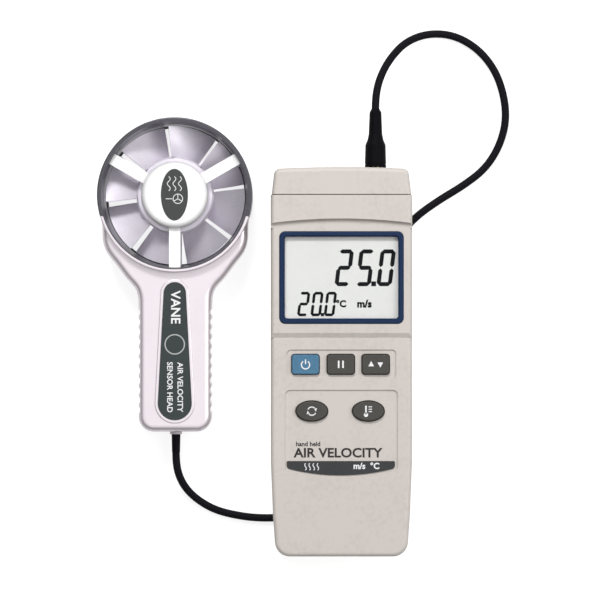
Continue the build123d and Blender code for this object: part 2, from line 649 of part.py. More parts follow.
KEY_PLACES = [(x, SQUARE_KEY_Y) for x in SQUARE_KEYS.values()]
KEY_PLACES += [(x, OVAL_KEY_Y) for x in OVAL_KEYS.values()]
with BuildPart() as dome_switches:
    with BuildSketch(meter_plane(BOARD_TOP_Z)):
        with Locations(KEY_PLACES):
            Circle(3.0)
    extrude(amount=0.6)
dome_switches.part.label = "dome_switches"
export_step(dome_switches.part, "parts/dome_switches.step")

for key_name, key_x in SQUARE_KEYS.items():
    with BuildPart() as square_key:
        with BuildSketch(meter_plane(FLANGE_BOTTOM_Z)):
            with Locations((key_x, SQUARE_KEY_Y)):
                Rectangle(SQUARE_KEY[0] + 1.6, SQUARE_KEY[1] + 1.8)
        extrude(amount=FLANGE_TOP_Z - FLANGE_BOTTOM_Z)
        with BuildSketch(meter_plane(FLANGE_TOP_Z)):
            with Locations((key_x, SQUARE_KEY_Y)):
                RectangleRounded(SQUARE_KEY[0], SQUARE_KEY[1], 1.4)
        extrude(amount=KEY_TOP_Z - FLANGE_TOP_Z)
        fillet(square_key.faces().sort_by(Axis.Z)[-1].edges(), 0.5)
    square_key.part.label = key_name
    export_step(square_key.part, f"parts/{key_name}.step")

for key_name, key_x in OVAL_KEYS.items():
    with BuildPart() as oval_key:
        with BuildSketch(meter_plane(FLANGE_BOTTOM_Z)):
            with Locations((key_x, OVAL_KEY_Y)):
                Rectangle(OVAL_KEY[0] + 1.8, OVAL_KEY[1] + 1.8)
        extrude(amount=FLANGE_TOP_Z - FLANGE_BOTTOM_Z)
        with BuildSketch(meter_plane(FLANGE_TOP_Z)):
            with Locations((key_x, OVAL_KEY_Y)):
                Ellipse(OVAL_KEY[0] / 2, OVAL_KEY[1] / 2)
        extrude(amount=KEY_TOP_Z - FLANGE_TOP_Z)
        fillet(oval_key.faces().sort_by(Axis.Z)[-1].edges(), 0.7)
    oval_key.part.label = key_name
    export_step(oval_key.part, f"parts/{key_name}.step")

with BuildPart() as nameplate:
    with BuildSketch(meter_plane(KEYPAD_Z - RECESS_DEPTH)):
        add(plate_outline.sketch)
    extrude(amount=0.5)
nameplate.part.label = "nameplate"
export_step(nameplate.part, "parts/nameplate.step")

# --- Meter: sensor socket -----------------------------------------------------------------
PIN_R = 0.45
PIN_CIRCLE_R = 1.7
SHELL_R = 3.5
SOCKET_DEPTH = 8.5
SOCKET_LENGTH = 12.0
with BuildPart() as sensor_socket:
    with BuildSketch(lengthwise_plane(PLUG_X, CAP_END_Y - SOCKET_LENGTH, PLUG_Z)):
        Circle(6.1)
    extrude(amount=SOCKET_LENGTH)
    chamfer(sensor_socket.faces().sort_by(Axis.Y)[-1].edges(), 0.3)
    with BuildSketch(lengthwise_plane(PLUG_X, CAP_END_Y - SOCKET_DEPTH, PLUG_Z)):
        Circle(SHELL_R + 0.08)
    extrude(amount=SOCKET_DEPTH, mode=Mode.SUBTRACT)
sensor_socket.part.label = "sensor_socket"
export_step(sensor_socket.part, "parts/sensor_socket.step")

with BuildPart() as socket_insert:
    with BuildSketch(lengthwise_plane(PLUG_X, CAP_END_Y - SOCKET_DEPTH, PLUG_Z)):
        Circle(SHELL_R - 0.68)
        with PolarLocations(PIN_CIRCLE_R, 4):
            Circle(PIN_R + 0.08, mode=Mode.SUBTRACT)
    extrude(amount=SOCKET_DEPTH - 0.2)
socket_insert.part.label = "socket_insert"
export_step(socket_insert.part, "parts/socket_insert.step")

# --- Probe: shells ------------------------------------------------------------------------
with BuildSketch() as handle_cavity:
    with Locations((0, HANDLE_END_Y + 2.2)):
        Rectangle(2 * (HANDLE_HALF_WIDTH - 2.9), 60, align=(Align.CENTER, Align.MIN))
    fillet(handle_cavity.vertices(), 4.0)

PROBE_SCREWS = [(-9.5, -58.0), (9.5, -58.0), (-9.5, -100.5), (9.5, -100.5)]
with BuildPart() as probe_rear_shell:
    with BuildSketch(probe_plane(0)):
        add(probe_outline.sketch)
    extrude(amount=PROBE_SEAM_Z)
    fillet(probe_rear_shell.faces().sort_by(Axis.Z)[0].edges(), 1.5)
    with BuildSketch(probe_plane(0)):
        add(scallops.sketch)
        Circle(RING_R - RING_WALL)
    extrude(amount=PROBE_SEAM_Z, mode=Mode.SUBTRACT)
    with BuildSketch(probe_plane(2.0)):
        add(handle_cavity.sketch)
    extrude(amount=PROBE_SEAM_Z, mode=Mode.SUBTRACT)
    with BuildSketch(probe_plane(2.0)):
        with Locations(PROBE_SCREWS):
            Circle(3.0)
    extrude(amount=PROBE_SEAM_Z - 2.0)
    with BuildSketch(probe_plane(0)):
        with Locations(PROBE_SCREWS):
            Circle(1.2)
    extrude(amount=PROBE_SEAM_Z, mode=Mode.SUBTRACT)
    with BuildSketch(probe_plane(0)):
        with Locations(PROBE_SCREWS):
            Circle(2.4)
    extrude(amount=3.0, mode=Mode.SUBTRACT)
    with BuildSketch(lengthwise_plane(RING_X, RING_Y + HANDLE_END_Y, GLAND_Z)):
        Circle(GLAND_R)
    extrude(amount=4, mode=Mode.SUBTRACT)
    with BuildSketch(probe_plane(0)):
        add(above_shoulders.sketch)
    extrude(amount=PROBE_SEAM_Z, mode=Mode.SUBTRACT)
probe_rear_shell.part.label = "probe_rear_shell"
export_step(probe_rear_shell.part, "parts/probe_rear_shell.step")

with BuildPart() as probe_front_shell:
    with BuildSketch(probe_plane(PROBE_SEAM_Z)):
        add(probe_outline.sketch)
    extrude(amount=HANDLE_TOP_Z - PROBE_SEAM_Z)
    handle_rim = probe_front_shell.faces().sort_by(Axis.Z)[-1].edges()
    fillet(handle_rim, HANDLE_ROUND)
    with BuildSketch(probe_plane(PROBE_SEAM_Z)):
        add(scallops.sketch)
    extrude(amount=HANDLE_TOP_Z, mode=Mode.SUBTRACT)
    with BuildSketch(probe_plane(PROBE_SEAM_Z)):
        Circle(RING_R)
    extrude(amount=RING_TOP_Z - PROBE_SEAM_Z)
    fillet(probe_front_shell.faces().sort_by(Axis.Z)[-1].edges(), 0.6)
    with BuildSketch(probe_plane(PROBE_SEAM_Z)):
        Circle(RING_R - RING_WALL)
    extrude(amount=RING_TOP_Z, mode=Mode.SUBTRACT)
    with BuildSketch(probe_plane(PROBE_SEAM_Z)):
        add(handle_cavity.sketch)
    extrude(amount=HANDLE_TOP_Z - PROBE_SEAM_Z - 2.4, mode=Mode.SUBTRACT)
    with BuildSketch(probe_plane(PROBE_SEAM_Z)):
        with Locations(PROBE_SCREWS):
            Circle(2.8)
    extrude(amount=HANDLE_TOP_Z - PROBE_SEAM_Z - 2.4)
    with BuildSketch(probe_plane(PROBE_SEAM_Z)):
        with Locations(PROBE_SCREWS):
            Circle(1.05)
    extrude(amount=6, mode=Mode.SUBTRACT)
    with BuildSketch(probe_plane(PROBE_SEAM_Z)):
        add(above_shoulders.sketch)
    extrude(amount=RING_TOP_Z, mode=Mode.SUBTRACT)
    # raised lip round the label, and the label's seat
    with BuildSketch(probe_plane(HANDLE_TOP_Z)):
        add(label_outline.sketch)
        offset(amount=LABEL_LIP)
    extrude(amount=LABEL_LIP_HEIGHT)
    lip_top = probe_front_shell.faces().filter_by_position(
        Axis.Z, HANDLE_TOP_Z + 0.8 * LABEL_LIP_HEIGHT, HANDLE_TOP_Z + 1.2 * LABEL_LIP_HEIGHT)
    fillet(lip_top.edges(), 0.4)
    with BuildSketch(probe_plane(HANDLE_TOP_Z - 0.6)):
        add(label_outline.sketch)
    extrude(amount=2, mode=Mode.SUBTRACT)
probe_front_shell.part.label = "probe_front_shell"
export_step(probe_front_shell.part, "parts/probe_front_shell.step")

with BuildPart() as duct_space:
    # air passage: a lip at the rear, a straight run past the blades, a wider mouth in front
    with BuildSketch(Plane(origin=(RING_X, RING_Y, 0), x_dir=(1, 0, 0), z_dir=(0, -1, 0))):
        with BuildLine():
            Polyline(
                (0, -1), (DUCT_LIP_R, -1), (DUCT_LIP_R, 1.6), (DUCT_R, 1.6), (DUCT_R, 20.5),
                (DUCT_MOUTH_R, RING_TOP_Z - 0.6), (DUCT_MOUTH_R, 40), (0, 40), close=True,
            )
        make_face()
    revolve(axis=Axis((RING_X, RING_Y, 0), (0, 0, 1)))

with BuildPart() as wind_ring:
    with BuildSketch(probe_plane(0.6)):
        Circle(RING_R - RING_WALL)
    extrude(amount=RING_TOP_Z - 1.2)
    with BuildSketch(probe_plane(0)):
        Circle(RING_R)
        with Locations((0, SHOULDER_GAP)):
            add(above_shoulders.sketch, mode=Mode.INTERSECT)
    extrude(amount=RING_TOP_Z)
    outer_rims = wind_ring.edges().filter_by(GeomType.CIRCLE).filter_by(
        lambda e: abs(e.radius - RING_R) < 0.01)
    fillet(outer_rims, 0.5)
    add(duct_space.part, mode=Mode.SUBTRACT)
wind_ring.part.label = "wind_ring"
export_step(wind_ring.part, "parts/wind_ring.step")

with BuildPart() as handle_label:
    with BuildSketch(probe_plane(HANDLE_TOP_Z - 0.6)):
        add(label_outline.sketch)
        offset(amount=-LABEL_GAP)
    extrude(amount=0.8)
handle_label.part.label = "handle_label"
export_step(handle_label.part, "parts/handle_label.step")

with BuildPart() as probe_board:
    with BuildSketch(probe_plane(PROBE_SEAM_Z + 0.6)):
        with Locations((0, -79.3)):
            RectangleRounded(12.0, 50.0, 1.0)
    extrude(amount=1.0)
    with BuildSketch(probe_plane(PROBE_SEAM_Z + 1.6)):
        with Locations((0, -66.0), (0, -88.0)):
            Rectangle(6, 6)
    extrude(amount=1.6)
probe_board.part.label = "probe_board"
export_step(probe_board.part, "parts/probe_board.step")

with BuildPart() as probe_screws:
    with BuildSketch(probe_plane(1.0)):
        with Locations(PROBE_SCREWS):
            Circle(2.2)
            Rectangle(2.8, 0.5, mode=Mode.SUBTRACT)
    extrude(amount=0.8)
    with BuildSketch(probe_plane(1.8)):
        with Locations(PROBE_SCREWS):
            Circle(2.2)
    extrude(amount=1.2)
    with BuildSketch(probe_plane(3.0)):
        with Locations(PROBE_SCREWS):
            Circle(1.05)
    extrude(amount=PROBE_SEAM_Z - 3.0 + 5.0)
probe_screws.part.label = "probe_screws"
export_step(probe_screws.part, "parts/probe_screws.step")

with BuildPart() as cable_gland:
    with BuildSketch(lengthwise_plane(RING_X, RING_Y + HANDLE_END_Y - 1.6, GLAND_Z)):
        Circle(GLAND_R)
    extrude(amount=5.6)
cable_gland.part.label = "cable_gland"
export_step(cable_gland.part, "parts/cable_gland.step")

# --- Probe: spiders and bearings ----------------------------------------------------------
FRONT_SPIDER_Z = 21.6
FRONT_HUB_TOP_Z = 27.6
with BuildPart() as front_spider:
    with BuildSketch(probe_plane(FRONT_SPIDER_Z)):
        with PolarLocations(RING_R / 2, 3, start_angle=STRUT_START_ANGLE):
            Rectangle(RING_R, STRUT_WIDTH)
    extrude(amount=STRUT_THICKNESS)
    add(duct_space.part, mode=Mode.INTERSECT)
    with BuildSketch(probe_plane(FRONT_SPIDER_Z)):
        Circle(HUB_COVER_R)
    extrude(amount=FRONT_HUB_TOP_Z - FRONT_SPIDER_Z)
    fillet(front_spider.faces().sort_by(Axis.Z)[-1].edges(), 3.2)
    with BuildSketch(probe_plane(FRONT_SPIDER_Z)):
        Circle(2.0)
    extrude(amount=2.4, mode=Mode.SUBTRACT)
    with BuildSketch(probe_plane(FRONT_HUB_TOP_Z - 0.5)):
        Ellipse(6.3, 12.0)
    extrude(amount=1, mode=Mode.SUBTRACT)
front_spider.part.label = "front_spider"
export_step(front_spider.part, "parts/front_spider.step")

with BuildPart() as hub_badge:
    with BuildSketch(probe_plane(FRONT_HUB_TOP_Z - 0.5)):
        Ellipse(6.3, 12.0)
    extrude(amount=0.6)
hub_badge.part.label = "hub_badge"
export_step(hub_badge.part, "parts/hub_badge.step")

REAR_SPIDER_Z = 1.6
with BuildPart() as rear_spider:
    with BuildSketch(probe_plane(REAR_SPIDER_Z)):
        with PolarLocations(RING_R / 2, 3, start_angle=STRUT_START_ANGLE):
            Rectangle(RING_R, STRUT_WIDTH)
    extrude(amount=STRUT_THICKNESS)
    add(duct_space.part, mode=Mode.INTERSECT)
    with BuildSketch(probe_plane(REAR_SPIDER_Z)):
        Circle(11.0)
    extrude(amount=3.4)
    fillet(rear_spider.faces().sort_by(Axis.Z)[0].edges().filter_by(GeomType.CIRCLE).filter_by(
        lambda e: 10.9 < e.radius < 11.1), 0.6)
    with BuildSketch(probe_plane(REAR_SPIDER_Z + 1.0)):
        Circle(2.0)
        with Locations((0, MAGNET_Y)):
            Rectangle(4.0, 2.6)
    extrude(amount=4, mode=Mode.SUBTRACT)
rear_spider.part.label = "rear_spider"
export_step(rear_spider.part, "parts/rear_spider.step")

with BuildPart() as front_bearing:
    with BuildSketch(probe_plane(FRONT_SPIDER_Z)):
        Circle(2.0)
    extrude(amount=2.4)
    with BuildSketch(probe_plane(FRONT_SPIDER_Z)):
        Circle(SHAFT_R + SHAFT_CLEARANCE)
    extrude(amount=1.8, mode=Mode.SUBTRACT)
front_bearing.part.label = "front_bearing"
export_step(front_bearing.part, "parts/front_bearing.step")

with BuildPart() as rear_bearing:
    with BuildSketch(probe_plane(REAR_SPIDER_Z + 1.0)):
        Circle(2.0)
    extrude(amount=2.4)
    with BuildSketch(probe_plane(REAR_SPIDER_Z + 1.6)):
        Circle(SHAFT_R + SHAFT_CLEARANCE)
    extrude(amount=4, mode=Mode.SUBTRACT)
rear_bearing.part.label = "rear_bearing"
export_step(rear_bearing.part, "parts/rear_bearing.step")

with BuildPart() as pickup_sensor:
    with BuildSketch(probe_plane(REAR_SPIDER_Z + 1.0)):
        with Locations((0, MAGNET_Y)):
            Rectangle(3.8, 2.4)
    extrude(amount=2.2)
pickup_sensor.part.label = "pickup_sensor"
export_step(pickup_sensor.part, "parts/pickup_sensor.step")

with BuildPart() as temperature_sensor:
    with BuildSketch(probe_plane(REAR_SPIDER_Z)):
        with Locations((0, -22.0)):
            Circle(1.3)
    extrude(amount=-1.0)
temperature_sensor.part.label = "temperature_sensor"
export_step(temperature_sensor.part, "parts/temperature_sensor.step")

# --- Probe: rotor -------------------------------------------------------------------------
with BuildPart() as vane_hub:
    with BuildSketch(probe_plane(HUB_BOTTOM_Z)):
        Circle(BLADE_ROOT_R)
    extrude(amount=HUB_HEIGHT)
    chamfer(vane_hub.faces().sort_by(Axis.Z)[-1].edges(), 0.8)
    with BuildSketch(probe_plane(HUB_BOTTOM_Z)):
        Circle(BLADE_ROOT_R - HUB_WALL)
        Circle(HUB_BOSS_R, mode=Mode.SUBTRACT)
    extrude(amount=HUB_POCKET, mode=Mode.SUBTRACT)
    with BuildSketch(probe_plane(HUB_BOTTOM_Z)):
        Circle(SHAFT_R)
    extrude(amount=HUB_HEIGHT, mode=Mode.SUBTRACT)
    with BuildSketch(probe_plane(HUB_BOTTOM_Z)):
        with Locations((0, MAGNET_Y)):
            Circle(MAGNET_R)
    extrude(amount=MAGNET_HEIGHT, mode=Mode.SUBTRACT)
vane_hub.part.label = "vane_hub"
export_step(vane_hub.part, "parts/vane_hub.step")

with BuildPart() as rotor_magnet:
    with BuildSketch(probe_plane(HUB_BOTTOM_Z)):
        with Locations((0, MAGNET_Y)):
            Circle(MAGNET_R)
    extrude(amount=MAGNET_HEIGHT)
rotor_magnet.part.label = "rotor_magnet"
export_step(rotor_magnet.part, "parts/rotor_magnet.step")

with BuildPart() as rotor_shaft:
    with BuildSketch(probe_plane(REAR_SPIDER_Z + 1.8)):
        Circle(SHAFT_R)
    extrude(amount=FRONT_SPIDER_Z + 1.6 - REAR_SPIDER_Z - 1.8)
rotor_shaft.part.label = "rotor_shaft"
export_step(rotor_shaft.part, "parts/rotor_shaft.step")


def blade_section(radius, chord, pitch):
    """Plane and chord of a blade at a radius; pitch is measured from the plane of rotation."""
    origin = Vector(RING_X + radius, RING_Y, ROTOR_Z)
    chord_direction = Vector(0, cos(radians(pitch)), sin(radians(pitch)))
    return Plane(origin=origin, x_dir=chord_direction, z_dir=(1, 0, 0)), chord


BLADE_SECTIONS = [
    blade_section(16.0, 16.8, 46),
    blade_section(25.0, 22.3, 33),
    blade_section(34.5, 28.5, 26),
]
with BuildPart() as blade:
    for section_plane, section_chord in BLADE_SECTIONS:
        with BuildSketch(section_plane):
            Rectangle(section_chord, BLADE_THICKNESS)
    loft()
    with BuildSketch(probe_plane(0)):
        Circle(BLADE_TIP_R)
        Circle(BLADE_ROOT_R, mode=Mode.SUBTRACT)
    extrude(amount=40, mode=Mode.INTERSECT)

with BuildPart() as vane_blades:
    for number in range(BLADES):
        angle = BLADE_START_ANGLE + 360 / BLADES * number
        turned = blade.part.rotate(Axis((RING_X, RING_Y, 0), (0, 0, 1)), angle)
        add(turned)
vane_blades.part.label = "vane_blades"
export_step(vane_blades.part, "parts/vane_blades.step")

# --- Lead ---------------------------------------------------------------------------------
RELIEF_START_Y = RING_Y + HANDLE_END_Y - 1.6
with BuildPart() as strain_relief:
    with BuildSketch(lengthwise_plane(RING_X, RELIEF_START_Y, GLAND_Z)):
        Circle(2.1)
    with BuildSketch(lengthwise_plane(RING_X, CORD_ROUTE[0][1], GLAND_Z)):
        Circle(CORD_D / 2 + 0.1)
    loft()
strain_relief.part.label = "strain_relief"
export_step(strain_relief.part, "parts/strain_relief.step")


def corner_radii(points):
    """Largest arc radius at each corner: 0.45 of the shorter run over tan of half the turn."""
    vectors = [Vector(*point) for point in points]
    runs = [after - before for before, after in zip(vectors, vectors[1:])]
    radii = []
    for run_in, run_out in zip(runs, runs[1:]):
        half_turn = radians(run_in.get_angle(run_out)) / 2
        radii.append(0.45 * min(run_in.length, run_out.length) / tan(half_turn))
    return radii


cord_radii = corner_radii(CORD_ROUTE)
print("cord corner radii", [round(radius, 1) for radius in cord_radii])
with BuildPart() as sensor_cable:
    with BuildLine() as cable_path:
        FilletPolyline(*CORD_ROUTE, radius=cord_radii)
    start_plane = Plane(origin=cable_path.line @ 0, z_dir=cable_path.line % 0)
    with BuildSketch(start_plane):
        Circle(CORD_D / 2)
    sweep(path=cable_path.line)
sensor_cable.part.label = "sensor_cable"
export_step(sensor_cable.part, "parts/sensor_cable.step")
cord_length = cable_path.wires()[0].length
print("cord length", round(cord_length, 1))
print("volume over section x length", sensor_cable.part.volume / (pi * CORD_D**2 / 4 * cord_length))

PLUG_START_Y = CAP_END_Y + PLUG_GAP
with BuildPart() as plug_body:
    with BuildSketch(Plane(origin=(PLUG_X, 0, PLUG_Z), x_dir=(1, 0, 0), z_dir=(0, 0, 1))):
        with BuildLine():
            Polyline(
                (0, PLUG_START_Y), (4.95, PLUG_START_Y), (4.95, 80.0), (4.7, 80.0), (4.7, 80.4),
                (4.95, 80.4), (4.7, 89.2), (3.7, 91.6), (3.15, 94.4), (2.75, 104.4),
                (CORD_D / 2 + 0.1, CORD_ROUTE[-1][1]), (0, CORD_ROUTE[-1][1]), close=True,
            )
        make_face()
    revolve(axis=Axis((PLUG_X, 0, PLUG_Z), (0, 1, 0)))
plug_body.part.label = "plug_body"
export_step(plug_body.part, "parts/plug_body.step")

with BuildPart() as plug_contacts:
    with BuildSketch(lengthwise_plane(PLUG_X, CAP_END_Y - SOCKET_DEPTH + 0.6, PLUG_Z)):
        Circle(SHELL_R)
        Circle(SHELL_R - 0.6, mode=Mode.SUBTRACT)
        with PolarLocations(PIN_CIRCLE_R, 4):
            Circle(PIN_R)
    extrude(amount=SOCKET_DEPTH - 0.6)
    with BuildSketch(lengthwise_plane(PLUG_X, CAP_END_Y, PLUG_Z)):
        Circle(SHELL_R)
    extrude(amount=PLUG_GAP)
plug_contacts.part.label = "plug_contacts"
export_step(plug_contacts.part, "parts/plug_contacts.step")
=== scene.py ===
"""Looks of the vane anemometer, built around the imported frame. Lengths are in metres."""
import json
import math

import bpy
from mathutils import Matrix, Vector


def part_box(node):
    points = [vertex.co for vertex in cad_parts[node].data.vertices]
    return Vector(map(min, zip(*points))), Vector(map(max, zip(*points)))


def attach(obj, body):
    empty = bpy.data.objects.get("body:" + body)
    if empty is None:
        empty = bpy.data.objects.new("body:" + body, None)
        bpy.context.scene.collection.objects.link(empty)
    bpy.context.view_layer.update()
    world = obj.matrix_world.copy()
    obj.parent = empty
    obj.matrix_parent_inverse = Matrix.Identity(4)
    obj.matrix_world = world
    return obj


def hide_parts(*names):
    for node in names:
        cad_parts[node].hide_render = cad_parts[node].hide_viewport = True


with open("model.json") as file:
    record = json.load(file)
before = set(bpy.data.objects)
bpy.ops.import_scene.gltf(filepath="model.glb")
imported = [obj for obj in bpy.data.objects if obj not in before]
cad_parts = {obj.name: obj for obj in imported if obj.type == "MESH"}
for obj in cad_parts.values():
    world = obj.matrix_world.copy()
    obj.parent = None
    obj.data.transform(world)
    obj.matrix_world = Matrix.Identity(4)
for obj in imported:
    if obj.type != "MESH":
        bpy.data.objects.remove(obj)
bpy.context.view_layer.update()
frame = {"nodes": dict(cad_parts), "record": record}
nodes = frame["nodes"]
MM = 0.001


# --- Reading places from the frame --------------------------------------------------------
def centre(node):
    """Middle of a node's box."""
    low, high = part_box(node)
    return (low + high) / 2


def top(node):
    """Height of a node's highest point."""
    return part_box(node)[1].z


METER_START_Y, METER_END_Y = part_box("front_case")[0].y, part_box("top_cap")[1].y
METER = Vector((centre("front_case").x, (METER_START_Y + METER_END_Y) / 2, 0))
VANE = Vector((centre("wind_ring").x, centre("wind_ring").y, 0))


# --- Material helpers ---------------------------------------------------------------------
NOISE_ROUGHNESS = 0.6
BROAD_SCALE = 45                     # 1/m, of the slow change of colour over a part
TINT_RANGE = (0.75, 1.25)            # of the sum of two noises, over which the colour changes
PAINTED_SHADE_RANGE = (0.5, 0.97)             # of the normal's height, over which painted shade darkens an edge
LOWEST_ROUGHNESS = 0.03


def new_material(name, color, roughness, **sockets):
    """A principled material, whose sockets are given with underscores for spaces."""
    material = bpy.data.materials.new(name)
    material.use_nodes = True
    shader = material.node_tree.nodes["Principled BSDF"]
    shader.inputs["Base Color"].default_value = (*color, 1)
    shader.inputs["Roughness"].default_value = roughness
    for socket, value in sockets.items():
        shader.inputs[socket.replace("_", " ")].default_value = value
    return material


def add_node(material, kind, **values):
    """A node of one kind, with its inputs or properties set."""
    node = material.node_tree.nodes.new(kind)
    for key, value in values.items():
        if hasattr(node, key):
            setattr(node, key, value)
        else:
            node.inputs[key.replace("_", " ")].default_value = value
    return node


def link(material, source, target):
    """A link from an output to an input."""
    material.node_tree.links.new(source, target)


def noise(material, scale, stretch=(1, 1, 1), detail=4):
    """Noise in object space, so that its grain has a real size. Scale is in 1/m."""
    place = add_node(material, "ShaderNodeTexCoord")
    mapping = add_node(material, "ShaderNodeMapping")
    mapping.inputs["Scale"].default_value = stretch
    grain = add_node(
        material, "ShaderNodeTexNoise", Scale=scale, Detail=detail, Roughness=NOISE_ROUGHNESS)
    link(material, place.outputs["Object"], mapping.inputs["Vector"])
    link(material, mapping.outputs["Vector"], grain.inputs["Vector"])
    return grain.outputs["Fac"]


def ramp(material, source, low, high, low_at=0.3, high_at=0.7):
    """Colour ramp between two colours."""
    node = add_node(material, "ShaderNodeValToRGB")
    node.color_ramp.elements[0].position = low_at
    node.color_ramp.elements[1].position = high_at
    node.color_ramp.elements[0].color = (*low, 1)
    node.color_ramp.elements[1].color = (*high, 1)
    link(material, source, node.inputs["Fac"])
    return node.outputs["Color"]


def shaded(color, factor):
    """A colour times a factor."""
    return tuple(min(1.0, channel * factor) for channel in color)


def grained(name, color, roughness, grain=2500, bump=0.00002, vary=0.05, rough_vary=0.08,
            mottle=700, stretch=(1, 1, 1), painted_shade=0.0, **sockets):
    """Uneven colour and gloss with a fine grain, and painted shade that darkens the colour of rims and
    upright sides by the given amount.
    """
    material = new_material(name, color, roughness, **sockets)
    shader = material.node_tree.nodes["Principled BSDF"]
    broad = noise(material, BROAD_SCALE, detail=3)
    speckle = noise(material, mottle, stretch, detail=2)
    both = add_node(material, "ShaderNodeMath", operation="ADD")
    link(material, broad, both.inputs[0])
    link(material, speckle, both.inputs[1])
    tint = ramp(material, both.outputs[0], shaded(color, 1 - vary), shaded(color, 1 + vary), *TINT_RANGE)
    # Painted shade: the colour darkens where the normal turns from straight up or down towards the side.
    if painted_shade:
        place = add_node(material, "ShaderNodeTexCoord")
        axes = add_node(material, "ShaderNodeSeparateXYZ")
        level = add_node(material, "ShaderNodeMath", operation="ABSOLUTE")
        link(material, place.outputs["Normal"], axes.inputs["Vector"])
        link(material, axes.outputs["Z"], level.inputs[0])
        painted_shade_factor = ramp(material, level.outputs[0], (1 - painted_shade, 1 - painted_shade, 1 - painted_shade), (1, 1, 1), *PAINTED_SHADE_RANGE)
        tint_with_painted_shade = add_node(material, "ShaderNodeMix", data_type="RGBA", blend_type="MULTIPLY")
        tint_with_painted_shade.inputs["Factor"].default_value = 1.0
        link(material, tint, tint_with_painted_shade.inputs["A"])
        link(material, painted_shade_factor, tint_with_painted_shade.inputs["B"])
        tint = tint_with_painted_shade.outputs["Result"]
    link(material, tint, shader.inputs["Base Color"])
    fine = noise(material, grain, stretch)
    gloss = add_node(material, "ShaderNodeMapRange")
    gloss.inputs["To Min"].default_value = max(LOWEST_ROUGHNESS, roughness - rough_vary)
    gloss.inputs["To Max"].default_value = roughness + rough_vary
    link(material, fine, gloss.inputs["Value"])
    link(material, gloss.outputs["Result"], shader.inputs["Roughness"])
    if bump:
        relief = add_node(material, "ShaderNodeBump", Strength=1.0, Distance=bump)
        link(material, fine, relief.inputs["Height"])
        link(material, relief.outputs["Normal"], shader.inputs["Normal"])
    return material


# --- Materials ----------------------------------------------------------------------------
DULL = {"Specular_IOR_Level": 0.2}
# Case, keys, probe silver and hub white carry painted shade that darkens their rims and upright sides.
MATERIALS = {
    "case": grained("case_plastic", (0.520, 0.480, 0.448), 0.52, grain=2200, bump=0.000014, vary=0.035,
                    mottle=450, painted_shade=0.16, Specular_IOR_Level=0.3),
    "bezel": grained("bezel_print", (0.010, 0.024, 0.066), 0.40, grain=1500, bump=0.000004,
                     Specular_IOR_Level=0.12),
    "window": grained("window_clear", (0.12, 0.13, 0.14), 0.06, rough_vary=0.02, bump=0.0, Alpha=0.035),
    "lcd": grained("lcd_grey", (0.712, 0.718, 0.70), 0.42, grain=6000, bump=0.000002, vary=0.02),
    "elastomer": grained("silicone", (0.30, 0.30, 0.30), 0.6),
    "circuit_board": grained("board_laminate", (0.02, 0.15, 0.06), 0.4),
    "steel": grained("plated_steel", (0.60, 0.60, 0.62), 0.3, Metallic=1.0),
    "nameplate": grained("plate_slate", (0.038, 0.040, 0.041), 0.40, grain=1800, bump=0.000004, **DULL),
    "key_blue": grained("key_blue", (0.065, 0.165, 0.265), 0.46, grain=2600, bump=0.000012, painted_shade=0.7,
                        **DULL),
    "key_grey": grained("key_grey", (0.060, 0.056, 0.050), 0.48, grain=2600, bump=0.000012, painted_shade=0.7,
                        **DULL),
    "foot_rubber": grained("foot_rubber", (0.03, 0.03, 0.03), 0.75),
    "brass": grained("brass_insert", (0.72, 0.52, 0.22), 0.3, Metallic=1.0),
    "battery": grained("battery_jacket", (0.05, 0.05, 0.06), 0.35, Metallic=0.4),
    "plug_plastic": grained("plug_black", (0.003, 0.003, 0.004), 0.6, grain=1800, bump=0.000012,
                            Specular_IOR_Level=0.05),
    "probe_silver": grained("pearl_silver", (0.82, 0.755, 0.80), 0.30, grain=5200, bump=0.000004,
                            vary=0.02, mottle=5000, painted_shade=0.36, Metallic=0.6),
    "duct_metal": grained("duct_wall", (0.085, 0.083, 0.095), 0.34, grain=900, bump=0.000006,
                          stretch=(1, 1, 12), Metallic=0.7),
    "hub_white": grained("hub_white", (0.86, 0.855, 0.86), 0.28, grain=2400, bump=0.000004, vary=0.012,
                         painted_shade=0.2),
    "badge": grained("badge_print", (0.052, 0.055, 0.053), 0.42, grain=3500, bump=0.000006, **DULL),
    "label": grained("label_inlay", (0.036, 0.045, 0.046), 0.42, grain=2600, bump=0.000008, **DULL),
    "bearing": grained("bearing_cup", (0.62, 0.50, 0.28), 0.25, Metallic=1.0),
    "blade": grained("blade_sheet", (0.80, 0.755, 0.84), 0.34, grain=900, bump=0.0, vary=0.03,
                     Metallic=0.4),
    "gland": grained("gland_pale", (0.62, 0.59, 0.62), 0.45),
    "cord_rubber": grained("cord_jacket", (0.006, 0.0055, 0.008), 0.6, grain=1600, bump=0.00002,
                           Specular_IOR_Level=0.06),
    "contact": grained("contact_plate", (0.66, 0.55, 0.32), 0.25, Metallic=1.0),
}
INK_BLACK = grained("lcd_segments", (0.003, 0.003, 0.004), 0.7, bump=0.0, Specular_IOR_Level=0.0)
INK_GREY = grained("case_print", (0.030, 0.027, 0.026), 0.6, bump=0.0, **DULL)
INK_WHITE = grained("white_print", (0.72, 0.72, 0.73), 0.5, bump=0.0)
INK_GREY_LIGHT = grained("grey_print", (0.36, 0.37, 0.37), 0.5, bump=0.0)

for part in frame["record"]["subparts"]:
    mesh = nodes[part["node"]].data
    mesh.materials.clear()
    mesh.materials.append(MATERIALS[part["material_slot"]])


# --- Mesh helpers -------------------------------------------------------------------------
def mesh_piece(name, vertices, faces, material, body):
    """A mesh object that rides on a body."""
    mesh = bpy.data.meshes.new(name)
    mesh.from_pydata([tuple(v) for v in vertices], [], faces)
    mesh.update()
    piece = bpy.data.objects.new(name, mesh)
    bpy.context.scene.collection.objects.link(piece)
    piece.data.materials.append(material)
    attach(piece, body)


